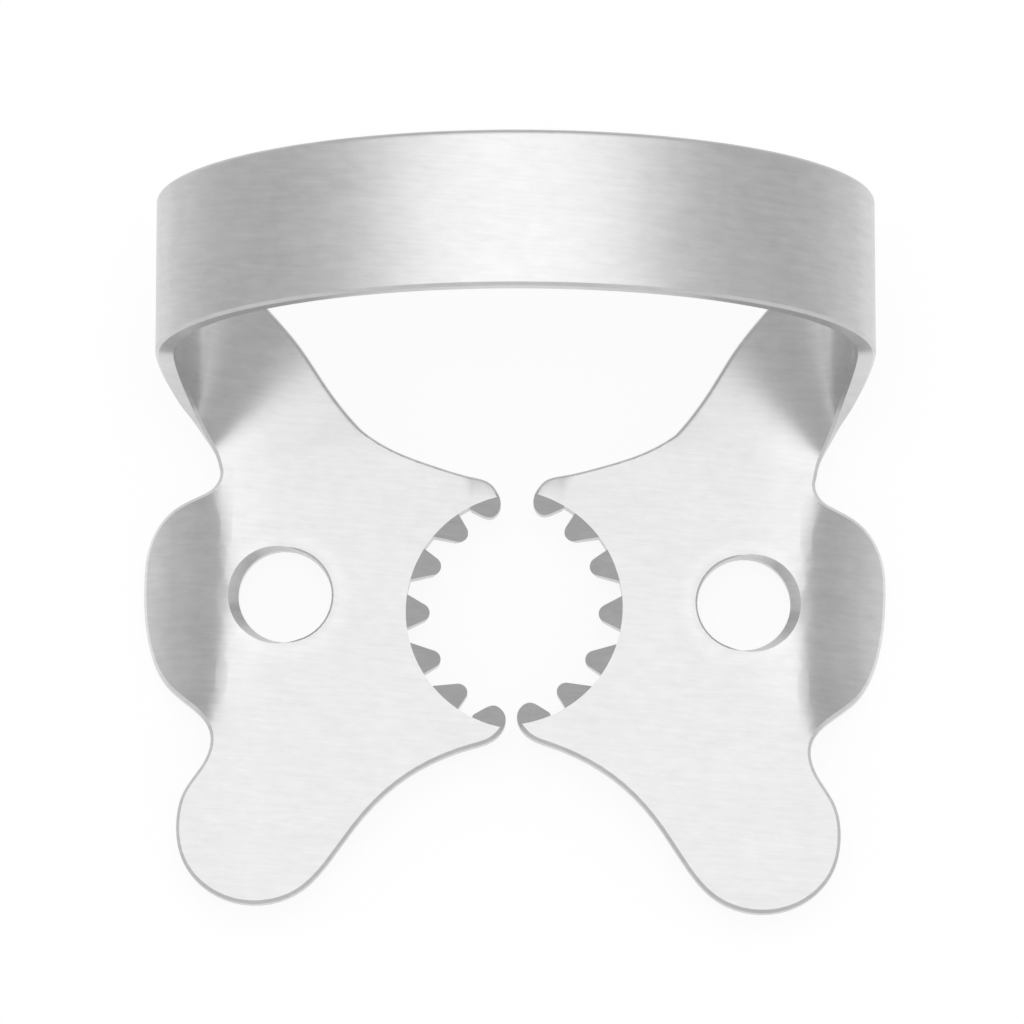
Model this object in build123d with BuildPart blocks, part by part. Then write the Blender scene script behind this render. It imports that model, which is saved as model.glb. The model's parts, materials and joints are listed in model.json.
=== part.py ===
"""Winged rubber dam clamp with serrated jaws, folded from one spring steel sheet.

Millimetres. The origin is midway between the two jaws, on the upper face of the jaw plates.
+X runs across the jaws, +Y from the nose of the clamp to its bow, and +Z up to the top of the bow.
One jaw is drawn on the +X side and mirrored, and then both are turned a little the same way.
"""

import os
from math import atan, cos, degrees, hypot, radians, sin, tan

from build123d import *

# Sheet
sheet_thickness = 0.8
edge_break = 0.12
cut_overrun = 1.0
outline_slack_share = 0.01

# Jaw plate, seen from above
jaw_half_span = 14.1
nose_length = 11.38
jaw_turn = 1.5
turn_pivot_x = 2.8
turn_pivot_y = -0.3

# Jaw rim and its teeth
rim_radius = 4.52
rim_offset_x = -0.42
tooth_count = 5
tooth_pitch = 23.75
tooth_axis = -1.3
tooth_tip_lead = 3.0
tooth_width = 1.3
tooth_length = 0.9
tooth_tip_radius = 0.34
tooth_slope = 24.0
tooth_tip_thickness = 0.45
tooth_seat_share = 0.62
prong_front_angle = 65.0
prong_back_angle = 61.0
prong_end_angle = 120.0

# Forceps hole, drawn out towards the wing
hole_radius = 1.77
hole_x = 8.68
hole_y = 0.4
hole_draw_x = 0.3
hole_draw_width = 0.1
hole_draw_depth = 0.36
hole_break = 0.07

# Side wing, bent down along a line beside the hole
wing_slope = 41.0
wing_bend_inset = 0.62
wing_bend_length = 2.2
wing_bend_ease = 0.4
wing_end_shift = 0.62
wing_fade_power = 4
wing_steps = 10
wing_stations = range(-10, 6)
wing_stations_per_notch = 4

# Bow, on the middle of the sheet
bow_half_width = 13.03
shoulder_height = 6.5
arch_rise = 4.6
arch_lean = 1.65
shoulder_front_y = 8.5
shoulder_back_y = 14.35
root_inset = 0.006

# Outline of a jaw as shares of its half span and its nose reach, from the leg round to the leg
root_front_share = (0.803, 0.461)
notch_back_share = (0.800, 0.447)
wing_shares = [
    (0.815, 0.395),
    (0.862, 0.362),
    (0.936, 0.314),
    (0.982, 0.236),
    (1.000, 0.079),
    (0.982, -0.123),
    (0.929, -0.265),
    (0.862, -0.340),
    (0.816, -0.400),
]
notch_front_share = (0.803, -0.444)
nose_shares = [
    (0.819, -0.532),
    (0.869, -0.630),
    (0.887, -0.745),
    (0.867, -0.861),
    (0.802, -0.953),
    (0.683, -1.000),
    (0.558, -0.958),
    (0.466, -0.835),
    (0.391, -0.703),
]
back_edge_shares = [
    (0.340, 0.536),
    (0.424, 0.600),
]

# Outline of the beaks at the ends of the rim, as shares of the rim's radius from its centre
front_beak_shares = [
    (1.035, -1.483),
    (0.692, -1.264),
    (0.408, -1.153),
    (0.271, -1.103),
    (0.162, -1.002),
    (0.149, -0.869),
    (0.236, -0.791),
    (0.336, -0.831),
]
back_beak_shares = [
    (0.396, 0.818),
    (0.299, 0.803),
    (0.236, 0.869),
    (0.246, 0.979),
    (0.333, 1.090),
    (0.477, 1.133),
    (0.782, 1.214),
]

# Course of the leg between its root and its shoulder: x, y and z shares of each edge
leg_front_shares = [
    (0.020, 0.077, 0.000),
    (0.060, 0.154, 0.009),
    (0.117, 0.231, 0.040),
    (0.187, 0.298, 0.099),
    (0.280, 0.372, 0.188),
    (0.410, 0.458, 0.312),
    (0.560, 0.557, 0.464),
    (0.737, 0.677, 0.630),
    (0.900, 0.820, 0.797),
]
leg_back_shares = [
    (0.062, 0.060, 0.003),
    (0.125, 0.137, 0.010),
    (0.184, 0.229, 0.025),
    (0.244, 0.328, 0.049),
    (0.315, 0.435, 0.090),
    (0.403, 0.548, 0.159),
    (0.520, 0.667, 0.283),
    (0.677, 0.787, 0.464),
    (0.854, 0.900, 0.696),
]
arch_stations = 14


def placed(shares):
    """The points of a jaw at shares of its half span and its nose reach."""
    return [(x * jaw_half_span, y * nose_length) for x, y in shares]


def by_rim(shares):
    """The points of a jaw at shares of its rim radius, from the centre of the rim."""
    return [(rim_offset_x + x * rim_radius, y * rim_radius) for x, y in shares]


def polar(radius, angle):
    """The point of a jaw at a radius and an angle about the centre of its rim."""
    return (rim_offset_x + radius * cos(radians(angle)), radius * sin(radians(angle)))


# Each jaw outline runs from the leg past the wing, round the nose, along the rim, and back to the leg
notch_back = Vector(*placed([notch_back_share])[0])
notch_front = Vector(*placed([notch_front_share])[0])
root_front = Vector(*placed([root_front_share])[0])
mouth_radius = rim_radius - edge_break
rim_front = polar(mouth_radius, -prong_front_angle)
rim_back = polar(mouth_radius, prong_back_angle)
with BuildSketch() as outline:
    with BuildLine():
        front_edge = Spline(
            root_front,
            notch_back,
            *placed(wing_shares),
            notch_front,
            *placed(nose_shares),
            *by_rim(front_beak_shares),
            rim_front,
        )
        ThreePointArc(rim_front, polar(mouth_radius, 0), rim_back)
        back_edge = Spline(rim_back, *by_rim(back_beak_shares), *placed(back_edge_shares))
        Line(back_edge @ 1, root_front)
    make_face()
root_back = back_edge @ 1

# The formed sheet is flat as far as a line beside the hole, and bends down outside that line
wing_bend_x = notch_back.X - wing_bend_inset
wing_zone_x = wing_bend_x - wing_bend_ease
wing_middle_y = (notch_back.Y + notch_front.Y) / 2
wing_half_length = (notch_back.Y - notch_front.Y) / 2
slab_length = (nose_length + cut_overrun) * 2


def bent(reach):
    """The height and the tilt of the sheet's upper face, at a distance out from the bend line."""
    steepness = tan(radians(wing_slope))
    eased_reach = (reach + hypot(reach, wing_bend_ease)) / 2
    span = hypot(eased_reach, wing_bend_length)
    tilt = atan(steepness * eased_reach / span * (1 + reach / hypot(reach, wing_bend_ease)) / 2)
    return -steepness * (span - wing_bend_length), tilt


def wing_section(across):
    """The section of the sheet across the bend, at a share of the way from middle to notch."""
    bend_line_x = wing_bend_x + wing_end_shift * abs(across) ** wing_fade_power
    flat_height, _ = bent(wing_zone_x - bend_line_x)
    upper, lower = [], []
    for step in range(wing_steps + 1):
        x = wing_zone_x + (jaw_half_span + sheet_thickness - wing_zone_x) * step / wing_steps
        height, tilt = bent(x - bend_line_x)
        upper.append(Vector(x, height - flat_height))
        lower.append(upper[-1] - Vector(sin(tilt), cos(tilt)) * sheet_thickness)
    lower[0] = Vector(wing_zone_x, -sheet_thickness)
    y = wing_middle_y + across * wing_half_length
    with BuildSketch(Plane((0, y, 0), x_dir=(1, 0, 0), z_dir=(0, -1, 0))) as section:
        with BuildLine():
            Spline(*upper)
            Line(upper[-1], lower[-1])
            Spline(*reversed(lower))
            Line(lower[0], upper[0])
        make_face()
    return section.sketch.face()


with BuildPart() as formed:
    loft([wing_section(station / wing_stations_per_notch) for station in wing_stations])
    with BuildSketch(Plane.XY.offset(-sheet_thickness)):
        with Locations((wing_zone_x, 0)):
            Rectangle(jaw_half_span, slab_length, align=(Align.MAX, Align.CENTER))
    extrude(amount=sheet_thickness)


def along(curve):
    """A test for the upper and lower edges of the plate that follow one curve of its outline."""

    def follows(edge):
        middle = edge @ 0.5
        gap = curve.distance_to(Vector(middle.X, middle.Y))
        upright = abs((edge % 0.5).Z) > cos(radians(wing_slope))
        return gap < edge_break * outline_slack_share and not upright

    return follows


with BuildPart() as plate:
    with BuildSketch(Plane.XY.offset(-nose_length)):
        add(outline.sketch)
        with Locations((rim_offset_x, 0)):
            Circle(rim_radius, mode=Mode.SUBTRACT)
    extrude(amount=nose_length + cut_overrun)
    add(formed.part, mode=Mode.INTERSECT)
    fillet(plate.edges().filter_by(along(back_edge)), edge_break)
    chamfer(plate.edges().filter_by(along(front_edge)), edge_break)

# Teeth and end prongs, cut from a flange that slopes down into the mouth of the jaw
tooth_root_radius = rim_radius + sheet_thickness
tooth_tip_inner = rim_radius - tooth_length
slope_x = cos(radians(tooth_slope))
slope_z = sin(radians(tooth_slope))
tooth_drop = tooth_length * slope_z / slope_x
with BuildPart() as flange:
    with BuildSketch(Plane((rim_offset_x, 0, 0), x_dir=(1, 0, 0), z_dir=(0, -1, 0))):
        Polygon(
            (rim_radius, 0),
            (tooth_tip_inner, -tooth_drop),
            (tooth_tip_inner + tooth_tip_thickness * slope_z, -tooth_drop - tooth_tip_thickness * slope_x),
            (tooth_root_radius, -sheet_thickness * tooth_seat_share),
            align=None,
        )
    revolve(axis=Axis((rim_offset_x, 0, 0), (0, 0, 1)))

tooth_half_angle = degrees(tooth_width / 2 / rim_radius)


def tooth_plan(base, tip):
    """The plan of one tooth, from its base angle at the rim to the angle of its rounded tip."""
    with BuildSketch() as tooth:
        with BuildLine():
            Polyline(
                polar(tooth_root_radius, base - tooth_half_angle),
                polar(rim_radius, base - tooth_half_angle),
                polar(rim_radius, base + tooth_half_angle),
                polar(tooth_root_radius, base + tooth_half_angle),
            )
        with Locations(polar(tooth_tip_inner + tooth_tip_radius, tip)):
            Circle(tooth_tip_radius)
        make_hull()
    return tooth.sketch


def prong_plan(start, end):
    """The plan of a prong that ends the rim, between two angles about the centre of the rim."""
    with BuildSketch() as prong:
        with Locations((rim_offset_x, 0)):
            Circle(tooth_root_radius)
        with BuildLine():
            Polyline(
                polar(0, 0),
                polar(nose_length, start),
                polar(nose_length, end),
                close=True,
            )
        make_face(mode=Mode.INTERSECT)
        add(outline.sketch, mode=Mode.INTERSECT)
    return prong.sketch


with BuildSketch() as teeth_plan:
    for index in range(tooth_count):
        place = index - (tooth_count - 1) / 2
        base = tooth_axis + place * tooth_pitch
        add(tooth_plan(base, base + tooth_tip_lead * max(-1, min(1, place))))
    add(prong_plan(prong_back_angle, prong_end_angle))
    add(prong_plan(-prong_front_angle, -prong_end_angle))

with BuildPart() as teeth:
    with BuildSketch(Plane.XY.offset(-tooth_drop - sheet_thickness)):
        add(teeth_plan.sketch)
    extrude(amount=tooth_drop + sheet_thickness + cut_overrun)
    add(flange.part, mode=Mode.INTERSECT)

# Forceps hole, with its upper rim broken all round and drawn out towards the wing
draw_scale = (hole_draw_depth + cut_overrun) / hole_draw_depth
with BuildPart() as hole:
    with BuildSketch(Plane.XY.offset(-hole_draw_depth)):
        with Locations((hole_x, hole_y)):
            Circle(hole_radius)
    with BuildSketch(Plane.XY.offset(cut_overrun)):
        with Locations((hole_x + hole_draw_x * draw_scale, hole_y)):
            Circle(hole_radius + hole_draw_width * draw_scale)
    loft(ruled=True)
    with Locations((hole_x, hole_y, -hole_break)):
        Cone(
            hole_radius,
            hole_radius + hole_break + cut_overrun,
            hole_break + cut_overrun,
            align=(Align.CENTER, Align.CENTER, Align.MIN),
        )
    with Locations((hole_x, hole_y, -sheet_thickness - cut_overrun)):
        Cylinder(
            hole_radius,
            sheet_thickness + cut_overrun * 2,
            align=(Align.CENTER, Align.CENTER, Align.MIN),
        )

with BuildPart() as jaw:
    add(plate.part)
    add(teeth.part)
    add(hole.part, mode=Mode.SUBTRACT)


def turned(point, side):
    """A point of the +X jaw, taken to the jaw on the given side and turned with it."""
    pivot = Vector(side * turn_pivot_x, turn_pivot_y)
    return pivot + (Vector(side * point.X, point.Y, point.Z) - pivot).rotate(Axis.Z, -jaw_turn)


# Edges of the bow on the middle of the sheet, from the root on the -X jaw to the root on the +X jaw
def leg(side):
    """The front and back points of the leg on a side, from its root up to its shoulder."""
    half_sheet = Vector(0, 0, sheet_thickness / 2)
    front_root = turned(root_front, side) - half_sheet
    back_root = turned(root_back, side) - half_sheet
    front_rise = Vector(side * bow_half_width, shoulder_front_y, shoulder_height) - front_root
    back_rise = Vector(side * bow_half_width, shoulder_back_y, shoulder_height) - back_root
    stations = [(front_root, back_root)]
    for front, back in zip(leg_front_shares, leg_back_shares):
        stations.append(
            (
                front_root + Vector(front[0] * front_rise.X, front[1] * front_rise.Y, front[2] * front_rise.Z),
                back_root + Vector(back[0] * back_rise.X, back[1] * back_rise.Y, back[2] * back_rise.Z),
            )
        )
    return stations


def arch_station(angle):
    """The front and back points of the arch at an angle about its middle, from the -X shoulder."""
    x = -bow_half_width * cos(radians(angle))
    rise = sin(radians(angle))
    z = shoulder_height + arch_rise * rise
    return (
        Vector(x, shoulder_front_y + arch_lean * rise, z),
        Vector(x, shoulder_back_y + arch_lean * rise, z),
    )


arch_angles = [180 * step / arch_stations for step in range(arch_stations + 1)]
stations = leg(-1) + [arch_station(angle) for angle in arch_angles] + leg(1)[::-1]
middles = [(front + back) / 2 for front, back in stations]


def bow_section(index):
    """The rounded section of the bow, square to its course, at one of its stations."""
    front, back = stations[index]
    ruling = (back - front).normalized()
    last = len(stations) - 1
    rooted = index in (0, last)
    if rooted:
        course = middles[min(index + 1, last)] - middles[max(index - 1, 0)]
        course = Vector(course.X, course.Y, 0)
    else:
        course = middles[index + 1] - middles[index - 1]
    course = (course - ruling * course.dot(ruling)).normalized()
    inset = root_inset if rooted else 0
    with BuildSketch(Plane(middles[index], x_dir=ruling, z_dir=course)) as section:
        Rectangle((back - front).length - inset * 2, sheet_thickness - inset * 2)
        chamfer(section.vertices(), edge_break + inset)
    return section.sketch.face()


with BuildPart() as bow:
    loft([bow_section(index) for index in range(len(stations))])

# Both jaws are turned the same way, each about its own pivot beside the mouth
mirrored_jaw = mirror(jaw.part, about=Plane.YZ)
jaws = []
for side, half in ((1, jaw.part), (-1, mirrored_jaw)):
    pivot = Pos(side * turn_pivot_x, turn_pivot_y, 0)
    jaws.append(half.moved(pivot * Rotation(0, 0, -jaw_turn) * pivot.inverse()))

with BuildPart() as dam_clamp:
    add(bow.part)
    add(jaws)

dam_clamp.part.label = "dam_clamp"
os.makedirs("parts", exist_ok=True)
export_step(dam_clamp.part, "parts/dam_clamp.step")
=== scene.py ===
"""Looks of a winged rubber dam clamp: one folded sheet of satin steel in a plain pale studio.

Metres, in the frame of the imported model: +X across the jaws, +Y from the nose to the bow, +Z up.
"""

from __future__ import annotations

import json
import logging
import math
from dataclasses import dataclass, field
from enum import Enum

import bmesh
import bpy
from mathutils import Matrix, Vector

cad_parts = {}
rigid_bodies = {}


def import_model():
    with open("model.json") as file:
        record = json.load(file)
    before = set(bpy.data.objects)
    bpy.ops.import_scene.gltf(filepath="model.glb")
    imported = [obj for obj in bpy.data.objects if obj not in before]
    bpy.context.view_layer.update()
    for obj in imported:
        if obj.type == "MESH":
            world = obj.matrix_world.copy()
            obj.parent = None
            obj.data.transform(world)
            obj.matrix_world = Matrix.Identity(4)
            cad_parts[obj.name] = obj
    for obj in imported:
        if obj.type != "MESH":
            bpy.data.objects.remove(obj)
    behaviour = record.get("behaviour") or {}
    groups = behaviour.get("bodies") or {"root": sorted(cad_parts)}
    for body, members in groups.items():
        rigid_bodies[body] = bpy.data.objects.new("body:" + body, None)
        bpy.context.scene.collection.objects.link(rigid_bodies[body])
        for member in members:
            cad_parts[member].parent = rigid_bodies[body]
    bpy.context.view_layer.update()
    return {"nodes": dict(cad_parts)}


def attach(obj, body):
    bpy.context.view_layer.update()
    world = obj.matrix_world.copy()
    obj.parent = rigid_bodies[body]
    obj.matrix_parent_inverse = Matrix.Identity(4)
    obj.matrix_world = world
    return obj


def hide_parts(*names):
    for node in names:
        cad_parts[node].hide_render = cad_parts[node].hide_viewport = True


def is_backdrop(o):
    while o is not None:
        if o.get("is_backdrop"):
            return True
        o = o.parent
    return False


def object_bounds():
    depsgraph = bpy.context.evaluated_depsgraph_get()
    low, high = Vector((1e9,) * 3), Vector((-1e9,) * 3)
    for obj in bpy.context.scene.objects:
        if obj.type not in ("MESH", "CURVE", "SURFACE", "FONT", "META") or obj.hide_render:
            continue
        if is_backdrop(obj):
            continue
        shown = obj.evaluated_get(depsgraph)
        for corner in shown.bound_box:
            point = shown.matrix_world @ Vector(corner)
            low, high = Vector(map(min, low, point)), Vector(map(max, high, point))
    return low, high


MM = 0.001
NODE = "dam_clamp"

Ruling = tuple[Vector, Vector]

log = logging.getLogger("dam_clamp_scene")


class Shade(Enum):
    """Where smooth shading breaks into a crisp line, in degrees."""

    SHEET = 17.0


def grey(level: float) -> tuple[float, float, float, float]:
    """An opaque grey of one level."""
    return level, level, level, 1.0


class Value:
    """A socket that carries a number, so that shader maths reads as plain Python."""

    def __init__(self, kit: "NodeKit", socket: bpy.types.NodeSocket) -> None:
        """Wraps a socket.

        Args:
            kit: The node kit that adds the Math nodes.
            socket: The output socket that is wrapped.
        """
        self.kit = kit
        self.socket = socket

    def _join(self, operation: str, *values: "Value | float") -> "Value":
        """The result of one Math node over some values."""
        return self.kit.value("ShaderNodeMath", {"operation": operation}, dict(enumerate(values)))

    def __add__(self, other: "Value | float") -> "Value":
        """Sum of two values."""
        return self._join("ADD", self, other)

    __radd__ = __add__

    def __mul__(self, other: "Value | float") -> "Value":
        """Product of two values."""
        return self._join("MULTIPLY", self, other)

    __rmul__ = __mul__

    def __sub__(self, other: "Value | float") -> "Value":
        """Difference of two values."""
        return self._join("SUBTRACT", self, other)

    def __rsub__(self, other: "Value | float") -> "Value":
        """Difference of a number and this value."""
        return self._join("SUBTRACT", other, self)


class NodeKit:
    """Adds shader nodes to one node tree."""

    NOISE_ROUGHNESS = 0.6

    def __init__(self, tree: bpy.types.NodeTree) -> None:
        """Starts on a tree and clears it.

        Args:
            tree: The node tree of a material or of the world.
        """
        self.tree = tree
        self.tree.nodes.clear()

    def node(
        self,
        kind: str,
        settings: dict[str, object] | None = None,
        inputs: dict[str | int, object] | None = None,
    ) -> bpy.types.Node:
        """Adds a node, sets it up, and fills its sockets.

        Args:
            kind: The node's type.
            settings: Attributes of the node, set first. A ramp's stops go under "stops".
            inputs: Values or links by socket name or number.

        Returns:
            The new node.
        """
        made = self.tree.nodes.new(kind)
        for name, value in (settings or {}).items():
            if name == "stops":
                self._set_stops(made.color_ramp, value)
            else:
                setattr(made, name, value)
        for name, value in (inputs or {}).items():
            socket = made.inputs[name]
            if isinstance(value, Value):
                value = value.socket
            if isinstance(value, bpy.types.NodeSocket):
                self.tree.links.new(value, socket)
            else:
                socket.default_value = value
        return made

    @staticmethod
    def _set_stops(ramp: bpy.types.ColorRamp, stops: list[tuple[float, float]]) -> None:
        """Gives a ramp its grey stops, as places and levels from low to high."""
        while len(ramp.elements) < len(stops):
            ramp.elements.new(1.0)
        for element, (place, level) in zip(ramp.elements, stops):
            element.position = place
            element.color = grey(level)

    def value(
        self,
        kind: str,
        settings: dict[str, object] | None = None,
        inputs: dict[str | int, object] | None = None,
        output: str | int = 0,
    ) -> Value:
        """Adds a node and wraps one of its outputs as a number.

        Args:
            kind: The node's type.
            settings: Attributes of the node.
            inputs: Values or links by socket name or number.
            output: The name or number of the output.

        Returns:
            The wrapped output.
        """
        return Value(self, self.node(kind, settings, inputs).outputs[output])

    def place(self) -> bpy.types.NodeSocket:
        """The Object coordinates."""
        return self.node("ShaderNodeTexCoord").outputs["Object"]

    def rise(self, value: "Value | bpy.types.NodeSocket", start: float, end: float) -> Value:
        """A smooth rise from 0 to 1 as a value goes from a start to an end.

        Args:
            value: The value that is followed.
            start: Where the rise starts.
            end: Where it ends.

        Returns:
            The rise.
        """
        return self.value(
            "ShaderNodeMapRange",
            {"interpolation_type": "SMOOTHSTEP"},
            {"Value": value, "From Min": start, "From Max": end},
            "Result",
        )

    def noise(self, stretch: tuple[float, float, float], turn: float, detail: float) -> Value:
        """Noise on Object coordinates, stretched along the axes.

        Args:
            stretch: Waves to the metre along each axis.
            turn: Turn of the pattern about Z, in degrees.
            detail: Detail of the noise.

        Returns:
            The noise as a number about one half.
        """
        turned = self.node(
            "ShaderNodeMapping",
            {"vector_type": "POINT"},
            {"Vector": self.place(), "Rotation": (0.0, 0.0, math.radians(turn))},
        )
        scaled = self.node(
            "ShaderNodeVectorMath",
            {"operation": "MULTIPLY"},
            {0: turned.outputs["Vector"], 1: stretch},
        )
        return self.value(
            "ShaderNodeTexNoise",
            {"noise_dimensions": "3D"},
            {
                "Vector": scaled.outputs["Vector"],
                "Scale": 1.0,
                "Detail": detail,
                "Roughness": self.NOISE_ROUGHNESS,
            },
            "Fac",
        )


@dataclass(frozen=True)
class SatinSteel:
    """Satin spring steel with fine brush lines across the jaws, a faint mottle and faint clouds, and
    painted light: a painted highlight ring around each forceps hole, a painted highlight band along the
    bends of the wings, and painted shading that changes with height.
    """

    tone_low: float = 0.51
    tone_high: float = 0.875
    roughness: float = 0.31
    roughness_swing: float = 0.10
    brush_turn: float = 5.0
    brush_waves: tuple[float, float, float] = (700.0, 6500.0, 700.0)
    mottle_waves: tuple[float, float, float] = (1500.0, 2400.0, 1500.0)
    cloud_waves: tuple[float, float, float] = (260.0, 420.0, 260.0)
    brush_share: float = 0.38
    mottle_share: float = 0.37
    line_detail: float = 3.0
    cloud_detail: float = 2.0
    bump_strength: float = 0.16
    bump_depth: float = 0.004 * MM
    left_hole: tuple[float, float] = (-8.66 * MM, 0.55 * MM)
    right_hole: tuple[float, float] = (8.70 * MM, 0.25 * MM)
    # Painted highlight: the tone is lighter in a ring around each forceps hole.
    hole_highlight_start: float = 1.85 * MM
    hole_highlight_peak: float = 2.12 * MM
    hole_highlight_end: float = 2.65 * MM
    hole_highlight_share: float = 0.05
    # Painted highlight: the tone is lighter in a band along the bends of the wings.
    bend_highlight_reach: tuple[float, float] = (8.7 * MM, 10.4 * MM)
    bend_highlight_front: tuple[float, float] = (-4.8 * MM, -1.8 * MM)
    bend_highlight_back: tuple[float, float] = (5.6 * MM, 7.6 * MM)
    bend_highlight_share: float = 0.07
    # Painted shading: the tone changes with height, darkest at the height of the jaws' plates, lighter on
    # what is bent down below them and on the bow above.
    lowest: float = -3.0 * MM
    highest: float = 11.1 * MM
    height_shading_stops: tuple[tuple[float, float], ...] = (
        (0.0, 1.0),
        (0.11, 0.985),
        (0.15, 0.835),
        (0.215, 0.83),
        (0.31, 0.905),
        (1.0, 0.943),
    )

    def _hole_highlight(self, kit: NodeKit, middle: tuple[float, float]) -> Value:
        """The painted highlight ring around one forceps hole, from 0 off it to 1 on it."""
        offset = kit.node(
            "ShaderNodeVectorMath",
            {"operation": "SUBTRACT"},
            {0: kit.place(), 1: (*middle, 0.0)},
        )
        flat = kit.node(
            "ShaderNodeVectorMath",
            {"operation": "MULTIPLY"},
            {0: offset.outputs["Vector"], 1: (1.0, 1.0, 0.0)},
        )
        radius = kit.value(
            "ShaderNodeVectorMath",
            {"operation": "LENGTH"},
            {0: flat.outputs["Vector"]},
            "Value",
        )
        rise = kit.rise(radius, self.hole_highlight_start, self.hole_highlight_peak)
        return rise - kit.rise(radius, self.hole_highlight_peak, self.hole_highlight_end)

    def _bend_highlight(self, kit: NodeKit) -> Value:
        """The painted highlight band along the bends of the wings, from 0 off it to 1 on it."""
        parts = kit.node("ShaderNodeSeparateXYZ", None, {"Vector": kit.place()})
        reach = kit.value("ShaderNodeMath", {"operation": "ABSOLUTE"}, {0: parts.outputs["X"]})
        beside = kit.rise(reach, *self.bend_highlight_reach)
        behind_nose = kit.rise(parts.outputs["Y"], *self.bend_highlight_front)
        before_leg = 1.0 - kit.rise(parts.outputs["Y"], *self.bend_highlight_back)
        return beside * behind_nose * before_leg

    def _height_shading(self, kit: NodeKit) -> Value:
        """Painted shading: the tone's share of full at each height of the sheet."""
        height = kit.node("ShaderNodeSeparateXYZ", None, {"Vector": kit.place()}).outputs["Z"]
        share = kit.value(
            "ShaderNodeMapRange",
            None,
            {"Value": height, "From Min": self.lowest, "From Max": self.highest},
            "Result",
        )
        return kit.value("ShaderNodeValToRGB", {"stops": list(self.height_shading_stops)}, {"Fac": share}, "Color")

    def material(self) -> bpy.types.Material:
        """Makes the material.

        Returns:
            The material, with its nodes.
        """
        made = bpy.data.materials.new("satin_steel")
        made.use_nodes = True
        kit = NodeKit(made.node_tree)
        brush = kit.noise(self.brush_waves, self.brush_turn, self.line_detail)
        mottle = kit.noise(self.mottle_waves, self.brush_turn, self.line_detail)
        clouds = kit.noise(self.cloud_waves, 0.0, self.cloud_detail)
        cloud_share = 1.0 - self.brush_share - self.mottle_share
        blend = brush * self.brush_share + mottle * self.mottle_share + clouds * cloud_share
        tone = kit.node(
            "ShaderNodeMix",
            {"data_type": "RGBA"},
            {
                "Factor": blend,
                "A": grey(self.tone_low),
                "B": grey(self.tone_high),
            },
        )
        # Painted highlights at the holes and along the wing bends, and painted shading by height, scale
        # the steel's tone.
        hole_highlights = self._hole_highlight(kit, self.left_hole) + self._hole_highlight(kit, self.right_hole)
        pale = hole_highlights * self.hole_highlight_share + self._bend_highlight(kit) * self.bend_highlight_share + 1.0
        shade = self._height_shading(kit) * pale
        toned = kit.node(
            "ShaderNodeMix",
            {"data_type": "RGBA", "blend_type": "MULTIPLY"},
            {"Factor": 1.0, "A": tone.outputs["Result"], "B": shade},
        )
        roughness = (blend - 0.5) * self.roughness_swing + self.roughness
        bump = kit.node(
            "ShaderNodeBump",
            None,
            {"Strength": self.bump_strength, "Distance": self.bump_depth, "Height": brush},
        )
        shader = kit.node(
            "ShaderNodeBsdfPrincipled",
            None,
            {
                "Base Color": toned.outputs["Result"],
                "Metallic": 1.0,
                "Roughness": roughness,
                "Normal": bump.outputs["Normal"],
            },
        )
        kit.node("ShaderNodeOutputMaterial", None, {"Surface": shader.outputs["BSDF"]})
        return made


@dataclass(frozen=True)
class PaleFloor:
    """White matt floor that glows a little, brightest under the clamp."""

    reflected: float = 0.25
    glow: float = 0.82
    fade_start: float = 30 * MM
    fade_end: float = 110 * MM
    edge_share: float = 0.80

    def material(self) -> bpy.types.Material:
        """Makes the material.

        Returns:
            The material, with its nodes.
        """
        made = bpy.data.materials.new("pale_floor")
        made.use_nodes = True
        kit = NodeKit(made.node_tree)
        radius = kit.value("ShaderNodeVectorMath", {"operation": "LENGTH"}, {0: kit.place()}, "Value")
        level = kit.value(
            "ShaderNodeMapRange",
            {"interpolation_type": "SMOOTHSTEP"},
            {
                "Value": radius,
                "From Min": self.fade_start,
                "From Max": self.fade_end,
                "To Min": 1.0,
                "To Max": self.edge_share,
            },
            "Result",
        )
        glow = kit.node("ShaderNodeCombineColor", None, {"Red": level, "Green": level, "Blue": level})
        shader = kit.node(
            "ShaderNodeBsdfPrincipled",
            None,
            {
                "Base Color": grey(self.reflected),
                "Roughness": 1.0,
                "Specular IOR Level": 0.0,
                "Emission Color": glow.outputs["Color"],
                "Emission Strength": self.glow,
            },
        )
        kit.node("ShaderNodeOutputMaterial", None, {"Surface": shader.outputs["BSDF"]})
        return made


def only_select(piece: bpy.types.Object) -> None:
    """Selects one object and makes it active, with everything else deselected."""
    for other in bpy.context.view_layer.objects:
        other.select_set(False)
    piece.select_set(True)
    bpy.context.view_layer.objects.active = piece


@dataclass
class PhotoCamera:
    """The camera at the photograph's angle: over the jaws, leaning to the nose side."""

    pixels: float = 1024.0
    pixels_per_mm: float = 26.4
    distance: float = 300 * MM
    lean: float = 10.0
    target: tuple[float, float, float] = (-0.076 * MM, 3.73 * MM, 0.0)
    sensor: float = 36.0
    clip_factor: float = 100.0

    def build(self) -> bpy.types.Object:
        """Adds the camera and makes it the scene's own.

        Returns:
            The camera.
        """
        data = bpy.data.cameras.new("photo_camera")
        data.sensor_width = self.sensor
        data.lens = self.pixels_per_mm / MM * self.distance / self.pixels * self.sensor
        data.clip_start = self.distance / self.clip_factor
        data.clip_end = self.distance * self.clip_factor
        camera = bpy.data.objects.new("photo_camera", data)
        bpy.context.scene.collection.objects.link(camera)
        lean = math.radians(self.lean)
        back = Vector((0.0, -math.sin(lean), math.cos(lean)))
        camera.location = Vector(self.target) + back * self.distance
        camera.rotation_euler = (lean, 0.0, 0.0)
        bpy.context.scene.camera = camera
        return camera


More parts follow.
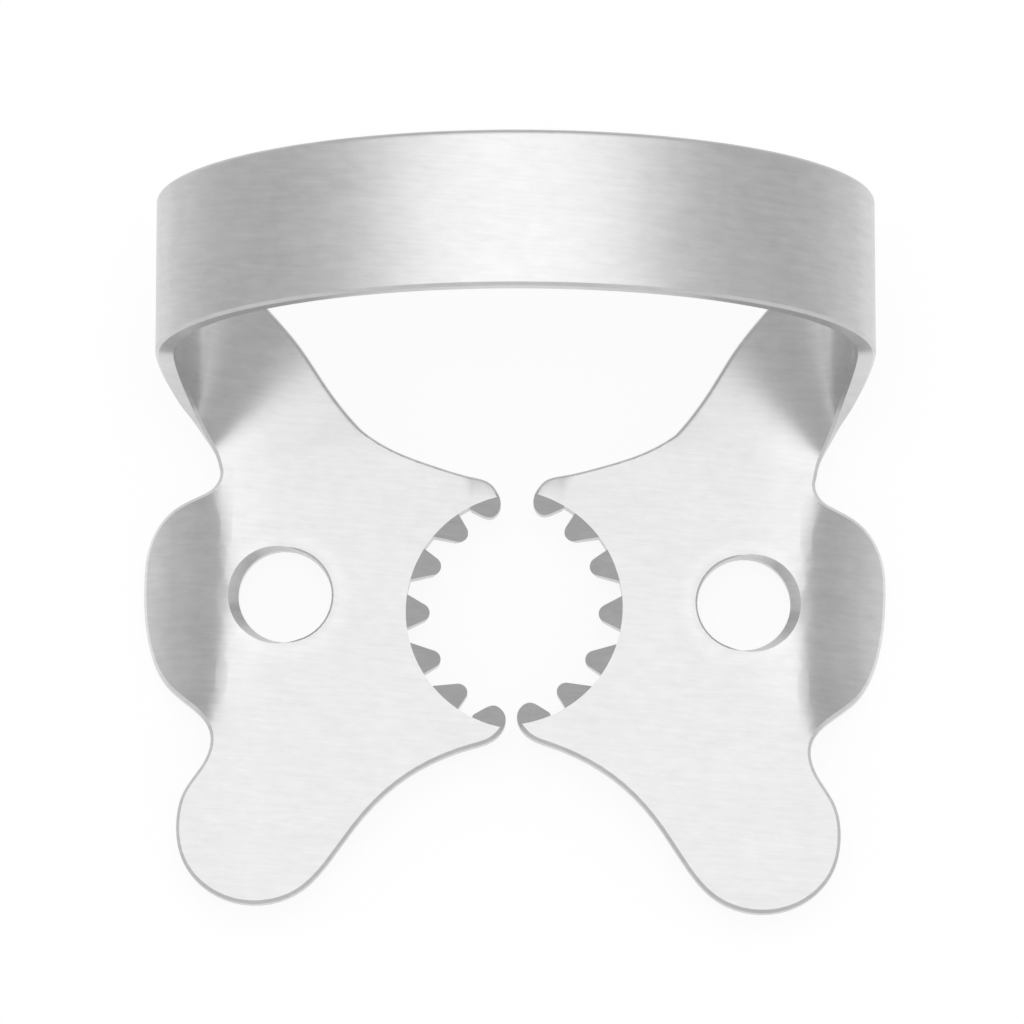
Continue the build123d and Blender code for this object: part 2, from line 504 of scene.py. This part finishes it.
@dataclass
class Studio:
    """Plain soft studio: an overhead softbox, a room with a dim belt, and a pale floor."""

    softbox_height: float = 600 * MM
    softbox_size: float = 350 * MM
    softbox_level: float = 1.15
    softbox_shift: float = 60 * MM
    floor_half_size: float = 1500 * MM
    floor_finish: PaleFloor = field(default_factory=PaleFloor)
    room_stops: tuple[tuple[float, float], ...] = (
        (0.0, 0.86),
        (0.30, 0.77),
        (0.60, 0.59),
        (0.85, 0.59),
        (1.0, 0.66),
    )

    def build(self) -> None:
        """Adds the light, the room and the floor."""
        bpy.context.scene.view_settings.view_transform = "Standard"
        self._softbox()
        self._room()
        self._floor()

    def _softbox(self) -> None:
        """Adds the softbox over the clamp."""
        data = bpy.data.lights.new("softbox", "AREA")
        data.shape = "SQUARE"
        data.size = self.softbox_size
        data.energy = self.softbox_level * math.pi * self.softbox_size**2
        light = bpy.data.objects.new("softbox", data)
        light.location = (0.0, self.softbox_shift, self.softbox_height)
        bpy.context.scene.collection.objects.link(light)

    def _room(self) -> None:
        """Gives the world a grey that changes only with height."""
        world = bpy.data.worlds.new("room")
        world.use_nodes = True
        bpy.context.scene.world = world
        kit = NodeKit(world.node_tree)
        direction = kit.node("ShaderNodeTexCoord").outputs["Generated"]
        height = kit.node("ShaderNodeSeparateXYZ", None, {"Vector": direction}).outputs["Z"]
        level = kit.node("ShaderNodeValToRGB", {"stops": list(self.room_stops)}, {"Fac": height})
        light = kit.node("ShaderNodeBackground", None, {"Color": level.outputs["Color"], "Strength": 1.0})
        kit.node("ShaderNodeOutputWorld", None, {"Surface": light.outputs["Background"]})

    def _floor(self) -> None:
        """Lays the floor just under the clamp's lowest point."""
        low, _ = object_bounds()
        bpy.ops.mesh.primitive_plane_add(size=self.floor_half_size * 2, location=(0.0, 0.0, low.z))
        floor = bpy.context.object
        floor.name = "floor"
        only_select(floor)
        bpy.ops.object.transform_apply(location=True, rotation=True, scale=True)
        floor.data.materials.append(self.floor_finish.material())
        floor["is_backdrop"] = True


@dataclass
class BowStrip:
    """The strip that folds up from one jaw, arches over, and folds down to the other.

    The front and back shares are how far each ruling of a leg has gone from the root to the
    shoulder, across, back and up, at its front and its back end.
    """

    thickness: float = 0.8 * MM
    half_width: float = 13.03 * MM
    middle_x: float = 0.06 * MM
    shoulder_height: float = 6.5 * MM
    arch_rise: float = 4.6 * MM
    arch_lean: float = 1.65 * MM
    shoulder_front_y: float = 8.5 * MM
    shoulder_back_y: float = 14.35 * MM
    arch_steps: int = 24
    span_steps: int = 5
    edge_zone: float = 0.3 * MM
    across_steps: int = 16
    front_shares: tuple[tuple[float, float, float], ...] = (
        (0.025, 0.060, 0.000),
        (0.055, 0.125, 0.001),
        (0.090, 0.185, 0.003),
        (0.140, 0.240, 0.007),
        (0.215, 0.310, 0.016),
        (0.335, 0.415, 0.040),
        (0.490, 0.560, 0.080),
        (0.660, 0.692, 0.146),
        (0.800, 0.820, 0.268),
        (0.925, 0.935, 0.455),
        (0.985, 0.990, 0.700),
    )
    back_shares: tuple[tuple[float, float, float], ...] = (
        (0.050, 0.051, 0.000),
        (0.110, 0.121, 0.003),
        (0.187, 0.221, 0.013),
        (0.263, 0.335, 0.034),
        (0.338, 0.440, 0.066),
        (0.435, 0.545, 0.113),
        (0.555, 0.660, 0.182),
        (0.690, 0.780, 0.278),
        (0.815, 0.880, 0.410),
        (0.920, 0.955, 0.600),
        (0.980, 0.990, 0.800),
    )

    def _leg(self, root: Ruling, side: float) -> list[Ruling]:
        """The rulings of one leg, front and back, from its root up to just below its shoulder.

        Args:
            root: The front and back ends of the root, on the middle of the sheet.
            side: 1 on the +X jaw and -1 on the other.

        Returns:
            The rulings, the root first.
        """
        shoulder_x = self.middle_x + side * self.half_width
        front_rise = Vector((shoulder_x, self.shoulder_front_y, self.shoulder_height)) - root[0]
        back_rise = Vector((shoulder_x, self.shoulder_back_y, self.shoulder_height)) - root[1]
        rulings = [root]
        for front, back in zip(self.front_shares, self.back_shares):
            rulings.append((root[0] + Vector(front) * front_rise, root[1] + Vector(back) * back_rise))
        return rulings

    def _arch(self) -> list[Ruling]:
        """The rulings of the arch, front and back, from the -X shoulder to the +X one."""
        rulings = []
        for step in range(self.arch_steps + 1):
            angle = math.pi * step / self.arch_steps
            x = self.middle_x - self.half_width * math.cos(angle)
            lean = self.arch_lean * math.sin(angle)
            z = self.shoulder_height + self.arch_rise * math.sin(angle)
            rulings.append(
                (
                    Vector((x, self.shoulder_front_y + lean, z)),
                    Vector((x, self.shoulder_back_y + lean, z)),
                )
            )
        return rulings

    @staticmethod
    def _blend(points: list[Vector], share: float) -> tuple[Vector, Vector]:
        """The place and the direction of a cubic B-spline at a share of one of its spans.

        Args:
            points: The four control points of the span.
            share: The share of the way along the span.

        Returns:
            The place on the curve, and the direction of its course there.
        """
        rest = 1.0 - share
        weights = (
            rest**3 / 6,
            (3 * share**3 - 6 * share**2 + 4) / 6,
            (-3 * share**3 + 3 * share**2 + 3 * share + 1) / 6,
            share**3 / 6,
        )
        slopes = (-rest**2, 3 * share**2 - 4 * share, -3 * share**2 + 2 * share + 1, share**2)
        place, course = Vector(), Vector()
        for point, weight, slope in zip(points, weights, slopes):
            place += point * weight
            course += point * slope / 2
        return place, course

    def _course(self, left: Ruling, right: Ruling) -> list[tuple[Vector, ...]]:
        """Smooth rulings from root to root.

        Args:
            left: The front and back ends of the -X root.
            right: The front and back ends of the +X root.

        Returns:
            For each ruling its front end, its back end, and the course at each of them.
        """
        rulings = self._leg(left, -1.0) + self._arch() + self._leg(right, 1.0)[::-1]
        first = tuple(2 * rulings[0][end] - rulings[1][end] for end in (0, 1))
        last = tuple(2 * rulings[-1][end] - rulings[-2][end] for end in (0, 1))
        rulings = [first, *rulings, last]
        smooth = []
        for span in range(len(rulings) - 3):
            for step in range(self.span_steps):
                smooth.append(self._ruling(rulings[span : span + 4], step / self.span_steps))
        smooth.append(self._ruling(rulings[-4:], 1.0))
        return smooth

    def _ruling(self, rulings: list[Ruling], share: float) -> tuple[Vector, ...]:
        """One smooth ruling: its front end, its back end, and the course at each of them."""
        front, front_course = self._blend([ruling[0] for ruling in rulings], share)
        back, back_course = self._blend([ruling[1] for ruling in rulings], share)
        return front, back, front_course, back_course

    def _ends(self, ring: list[bmesh.types.BMVert]) -> Ruling:
        """The front and back ends of a cut ring, on the middle of the sheet."""
        by_reach = sorted(ring, key=lambda vertex: vertex.co.y)
        middle = Vector((1.0, 1.0, 0.0))
        down = Vector((0.0, 0.0, self.thickness / 2))
        return by_reach[0].co * middle - down, by_reach[-1].co * middle - down

    def grow(
        self,
        sheet: bmesh.types.BMesh,
        left_ring: list[bmesh.types.BMVert],
        right_ring: list[bmesh.types.BMVert],
    ) -> None:
        """Grows the strip from the cut ring of the -X jaw to the cut of the +X jaw.

        Args:
            sheet: The mesh that holds both jaws.
            left_ring: The vertices around the cut of the -X jaw, in order.
            right_ring: The vertices around the cut of the +X jaw, in order.
        """
        left, right = self._ends(left_ring), self._ends(right_ring)
        width = (left[1] - left[0]).length
        ruling = (left[1] - left[0]).normalized()
        profile = []
        for vertex in left_ring:
            offset = vertex.co - left[0]
            profile.append((offset.dot(ruling), offset.z))
        ring = left_ring
        for front, back, front_course, back_course in self._course(left, right)[1:]:
            span = (back - front).length
            ruling = (back - front).normalized()
            middle_stretch = (span - self.edge_zone * 2) / (width - self.edge_zone * 2)
            next_ring = []
            for across, height in profile:
                if across > width - self.edge_zone:
                    across += span - width
                elif across > self.edge_zone:
                    across = self.edge_zone + (across - self.edge_zone) * middle_stretch
                course = front_course.lerp(back_course, across / span)
                normal = ruling.cross(course).normalized()
                next_ring.append(sheet.verts.new(front + ruling * across + normal * height))
            for index in range(len(ring)):
                after = (index + 1) % len(ring)
                sheet.faces.new((ring[index], ring[after], next_ring[after], next_ring[index]))
            ring = next_ring


@dataclass
class ClampSheet:
    """The folded sheet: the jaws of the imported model, joined by a smoothly folded bow."""

    merge_distance: float = 0.0004 * MM
    cut_distance: float = 0.00004 * MM
    wide_edge: float = 1.6 * MM
    weld_distance: float = 0.004 * MM
    root_front: tuple[float, float] = (11.32 * MM, 5.25 * MM)
    root_back: tuple[float, float] = (5.98 * MM, 6.83 * MM)
    root_inset: float = 0.05 * MM
    pivot: tuple[float, float] = (2.8 * MM, -0.3 * MM)
    jaw_turn: float = 1.5
    bow: BowStrip = field(default_factory=BowStrip)
    finish: SatinSteel = field(default_factory=SatinSteel)

    def _turned(self, place: tuple[float, float], side: float) -> Vector:
        """A place on the +X jaw before its turn, taken to one of the turned jaws.

        Args:
            place: The place in plan on the +X jaw before its turn.
            side: 1 for the +X jaw and -1 for the other.

        Returns:
            The place on the turned jaw, at the height of its upper face.
        """
        pivot = Vector((side * self.pivot[0], self.pivot[1], 0.0))
        turn = Matrix.Rotation(-math.radians(self.jaw_turn), 3, "Z")
        return pivot + turn @ (Vector((side * place[0], place[1], 0.0)) - pivot)

    def _root(self, side: float) -> tuple[Vector, Vector]:
        """The middle of a jaw's cut, just before its root, and the way the leg leaves it.

        Args:
            side: 1 for the +X jaw and -1 for the other.

        Returns:
            The middle of the cut and the outward direction.
        """
        front, back = self._turned(self.root_front, side), self._turned(self.root_back, side)
        outward = (back - front).cross(Vector((0.0, 0.0, side))).normalized()
        return (front + back) / 2 - outward * self.root_inset, outward

    def _rim(self, sheet: bmesh.types.BMesh, side: float) -> list[bmesh.types.BMEdge]:
        """The open edges around the cut of one jaw, in the order of the mesh."""
        centre, outward = self._root(side)
        rim = []
        for edge in sheet.edges:
            gap = max(abs((vertex.co - centre).dot(outward)) for vertex in edge.verts)
            if edge.is_boundary and gap < self.merge_distance:
                rim.append(edge)
        return rim

    def _cut(self, sheet: bmesh.types.BMesh, side: float) -> None:
        """Cuts the leg off one jaw, just before its root, and divides the long edges of the cut."""
        centre, outward = self._root(side)
        bmesh.ops.bisect_plane(
            sheet,
            geom=list(sheet.verts) + list(sheet.edges) + list(sheet.faces),
            dist=self.cut_distance,
            plane_co=centre,
            plane_no=outward,
            clear_outer=True,
        )
        wide = [edge for edge in self._rim(sheet, side) if edge.calc_length() > self.wide_edge]
        bmesh.ops.subdivide_edges(sheet, edges=wide, cuts=self.bow.across_steps - 1)

    def _ring(self, sheet: bmesh.types.BMesh, side: float) -> list[bmesh.types.BMVert]:
        """The vertices around the cut of one jaw, in order.

        Args:
            sheet: The mesh of the cut jaws.
            side: 1 for the +X jaw and -1 for the other.

        Returns:
            The vertices of the ring.
        """
        first, *others = self._rim(sheet, side)
        ring = list(first.verts)
        left = set(others)
        while left:
            edge = next(other for other in ring[-1].link_edges if other in left)
            left.discard(edge)
            ring.append(edge.other_vert(ring[-1]))
        ring.pop()
        return ring

    def build(self, source: bpy.types.Object) -> bpy.types.Object:
        """Cuts the jaws from the CAD node's mesh, grows the bow, shades the sheet and dresses it.

        Args:
            source: The CAD node that the piece stands for.

        Returns:
            The finished piece.
        """
        mesh = source.data.copy()
        mesh.name = "folded_sheet"
        piece = bpy.data.objects.new("folded_sheet", mesh)
        bpy.context.scene.collection.objects.link(piece)
        sheet = bmesh.new()
        sheet.from_mesh(mesh)
        bmesh.ops.remove_doubles(sheet, verts=sheet.verts, dist=self.merge_distance)
        bmesh.ops.dissolve_degenerate(sheet, edges=sheet.edges, dist=self.merge_distance)
        for side in (1.0, -1.0):
            self._cut(sheet, side)
        self.bow.grow(sheet, self._ring(sheet, -1.0), self._ring(sheet, 1.0))
        bmesh.ops.remove_doubles(sheet, verts=sheet.verts, dist=self.weld_distance)
        bmesh.ops.recalc_face_normals(sheet, faces=sheet.faces)
        sheet.to_mesh(mesh)
        sheet.free()
        only_select(piece)
        bpy.ops.mesh.customdata_custom_splitnormals_clear()
        bpy.ops.object.shade_smooth_by_angle(angle=math.radians(Shade.SHEET.value))
        weigh = piece.modifiers.new("weighted", "WEIGHTED_NORMAL")
        weigh.keep_sharp = True
        bpy.ops.object.modifier_apply(modifier=weigh.name)
        mesh.materials.clear()
        mesh.materials.append(self.finish.material())
        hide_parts(NODE)
        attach(piece, "root")
        return piece


def report_piece(piece: bpy.types.Object) -> None:
    """Logs a piece's name and its count of triangles."""
    counted = bmesh.new()
    counted.from_mesh(piece.data)
    log.info("%s: %d triangles", piece.name, len(counted.calc_loop_triangles()))
    counted.free()


def main() -> None:
    """Builds the camera, the studio and the clamp."""
    logging.basicConfig(level=logging.INFO, format="%(name)s: %(message)s")
    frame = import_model()
    PhotoCamera().build()
    Studio().build()
    report_piece(ClampSheet().build(frame["nodes"][NODE]))


if __name__ == "__main__":
    main()
